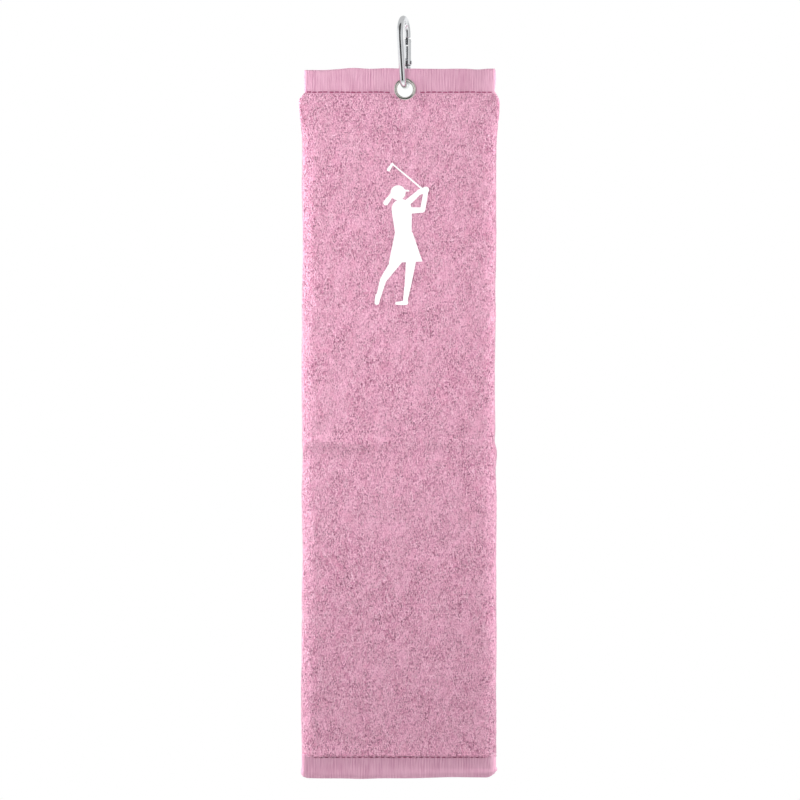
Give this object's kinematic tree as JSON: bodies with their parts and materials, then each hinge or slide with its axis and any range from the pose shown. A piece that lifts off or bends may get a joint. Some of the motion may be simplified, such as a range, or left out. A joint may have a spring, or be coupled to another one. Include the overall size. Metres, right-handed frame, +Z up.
{
  "type": "golf towel",
  "caption": "Tri-fold terry golf towel with woven hems and a printed figure, held by a metal eyelet and hung from a small spring-gate snap hook.",
  "frame": {"origin": "The seat of the snap hook: the middle of the inside of its top bend, where it hangs on a ring or a strap.", "axes": "+Z up along the hanging towel, +Y towards its back, +X to the right of someone who faces its printed front."},
  "size_m": [0.142, 0.0273, 0.5465],
  "materials": {
    "hook_metal": "polished",
    "pin_steel": "plain bright steel",
    "spring_steel": "drawn spring wire",
    "eyelet_nickel": "nickel plate",
    "terry": "cotton terry loops",
    "woven_hem": "flat-woven cotton with fine ribs",
    "thread": "sewing thread",
    "print_film": "white printed film"
  },
  "bodies": {
    "clip": {"clip_body": "hook_metal", "gate_pivot_pin": "pin_steel"},
    "gate": {"gate": "hook_metal", "latch_pin": "pin_steel", "gate_spring": "spring_steel"},
    "plunger": {"spring_plunger": "pin_steel"},
    "towel": {"eyelet": "eyelet_nickel", "eyelet_washer": "eyelet_nickel", "top_hem": "woven_hem", "front_panel": "terry", "left_flap": "terry", "left_flap_side_hem": "woven_hem", "right_fold": "terry", "right_flap_root": "terry", "right_flap_root_side_hem": "woven_hem", "bottom_hem": "woven_hem", "top_hem_thread": "thread", "bottom_hem_thread": "thread", "golfer_print": "print_film"},
    "right_flap": {"right_flap": "terry", "right_flap_side_hem": "woven_hem", "right_flap_bottom_hem": "woven_hem", "right_flap_hem_thread": "thread"}
  },
  "joints": [
    {"name": "gate_hinge", "type": "hinge", "parent": "clip", "child": "gate", "pos_m": [0.0027, 0.01118, -0.0283], "axis": [0.972, -0.2351, 0], "range_deg": [0, 30], "stiffness_Nm_per_rad": 0.1, "springref_deg": -28.65},
    {"name": "plunger_slide", "type": "slide", "parent": "gate", "child": "plunger", "axis": [0, 0, 1], "range_m": [0, 0.0006], "deforming": ["gate_spring"]},
    {"name": "towel_swing", "type": "hinge", "parent": "clip", "child": "towel", "pos_m": [0.00089, 0.00369, -0.0458], "axis": [0, 1, 0], "range_deg": [-50, 50]},
    {"name": "flap_fan", "type": "hinge", "parent": "towel", "child": "right_flap", "pos_m": [0.0624, 0.00869, -0.17], "axis": [0, 0, -1], "range_deg": [0, 35], "stiffness_Nm_per_rad": 0.05, "springref_deg": -17.19}
  ],
  "couplings": [
    {"joint": "plunger_slide", "follows": "gate_hinge", "m_per_rad": 0.0011448}
  ]
}
